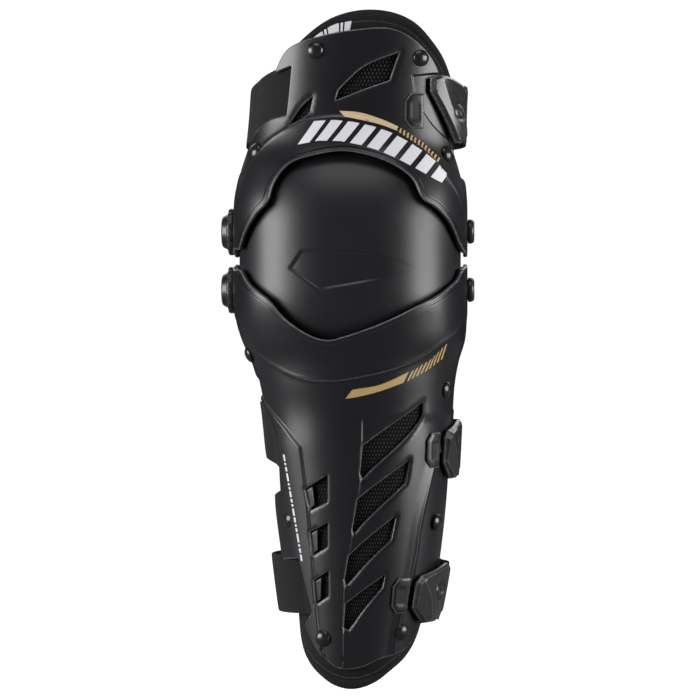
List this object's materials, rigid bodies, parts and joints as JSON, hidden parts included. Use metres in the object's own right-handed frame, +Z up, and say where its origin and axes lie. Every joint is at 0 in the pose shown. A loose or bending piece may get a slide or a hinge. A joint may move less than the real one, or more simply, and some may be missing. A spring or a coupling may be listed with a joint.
{
  "type": "knee guard",
  "caption": "Hard-shell knee and shin guard with a thigh cuff, a knee cup on two pairs of pivots, foam liners and three strap hooks.",
  "frame": {"origin": "middle of the knee, half-way between the upper and the lower hinge axis, on the guard's middle plane; where the leg holds it", "axes": "+Z up along the leg, -Y forwards out of the knee, +X the outer side of a left leg"},
  "size_m": [0.1754, 0.157, 0.4579],
  "materials": {
    "shell": "fine-grained black moulding",
    "cup": "satin black moulding",
    "liner": "black knit over foam",
    "webbing": "ribbed black elastic webbing",
    "fitting": "moulded black plastic",
    "rivet": "black coated dome rivet",
    "steel": "turned steel",
    "slip": "natural slip washer"
  },
  "bodies": {
    "shin": {"lower_calf_catch": "fitting", "lower_calf_strap": "webbing", "shin_liner": "liner", "shin_rivet_1": "rivet", "shin_rivet_2": "rivet", "shin_rivet_3": "rivet", "shin_rivet_4": "rivet", "shin_rivet_5": "rivet", "shin_rivet_6": "rivet", "shin_rivet_washer_1": "rivet", "shin_rivet_washer_2": "rivet", "shin_rivet_washer_3": "rivet", "shin_rivet_washer_4": "rivet", "shin_rivet_washer_5": "rivet", "shin_rivet_washer_6": "rivet", "shin_shell": "shell", "upper_calf_catch": "fitting", "upper_calf_strap": "webbing"},
    "knee": {"knee_cup": "cup", "knee_liner": "liner", "lower_inner_pivot_bush": "steel", "lower_inner_pivot_knob": "fitting", "lower_inner_pivot_screw": "steel", "lower_inner_pivot_washer": "slip", "lower_outer_pivot_bush": "steel", "lower_outer_pivot_knob": "fitting", "lower_outer_pivot_screw": "steel", "lower_outer_pivot_washer": "slip", "lower_stretch_panel": "liner", "upper_inner_pivot_bush": "steel", "upper_inner_pivot_knob": "fitting", "upper_inner_pivot_screw": "steel", "upper_inner_pivot_washer": "slip", "upper_outer_pivot_bush": "steel", "upper_outer_pivot_knob": "fitting", "upper_outer_pivot_screw": "steel", "upper_outer_pivot_washer": "slip", "upper_stretch_panel": "liner"},
    "thigh": {"cuff_rivet_1": "rivet", "cuff_rivet_2": "rivet", "cuff_rivet_3": "rivet", "cuff_rivet_4": "rivet", "cuff_rivet_washer_1": "rivet", "cuff_rivet_washer_2": "rivet", "cuff_rivet_washer_3": "rivet", "cuff_rivet_washer_4": "rivet", "thigh_catch": "fitting", "thigh_cuff": "shell", "thigh_liner": "liner", "thigh_strap": "webbing"},
    "thigh_hook": {"thigh_clip": "fitting", "thigh_strap_tail": "webbing"},
    "upper_calf_hook": {"upper_calf_clip": "fitting", "upper_calf_strap_tail": "webbing"},
    "lower_calf_hook": {"lower_calf_clip": "fitting", "lower_calf_strap_tail": "webbing"}
  },
  "joints": [
    {"name": "lower_pivot", "type": "hinge", "parent": "shin", "child": "knee", "pos_m": [0, 0, -0.0202], "axis": [-1, 0, 0], "range_deg": [0, 45]},
    {"name": "upper_pivot", "type": "hinge", "parent": "knee", "child": "thigh", "pos_m": [0, 0, 0.0202], "axis": [-1, 0, 0], "range_deg": [0, 45]},
    {"name": "thigh_hook_hinge", "type": "hinge", "parent": "thigh", "child": "thigh_hook", "pos_m": [0.0565, -0.05188, 0.0997], "axis": [-0.0175, -0.0631, -0.9979], "range_deg": [0, 35], "stiffness_Nm_per_rad": 0.1},
    {"name": "upper_calf_hook_hinge", "type": "hinge", "parent": "shin", "child": "upper_calf_hook", "pos_m": [0.06568, -0.03546, -0.1302], "axis": [-0.0417, 0.0399, -0.9983], "range_deg": [0, 35], "stiffness_Nm_per_rad": 0.1},
    {"name": "lower_calf_hook_hinge", "type": "hinge", "parent": "shin", "child": "lower_calf_hook", "pos_m": [0.04518, -0.04802, -0.2282], "axis": [-0.1362, 0.0551, -0.9891], "range_deg": [0, 35], "stiffness_Nm_per_rad": 0.1}
  ]
}
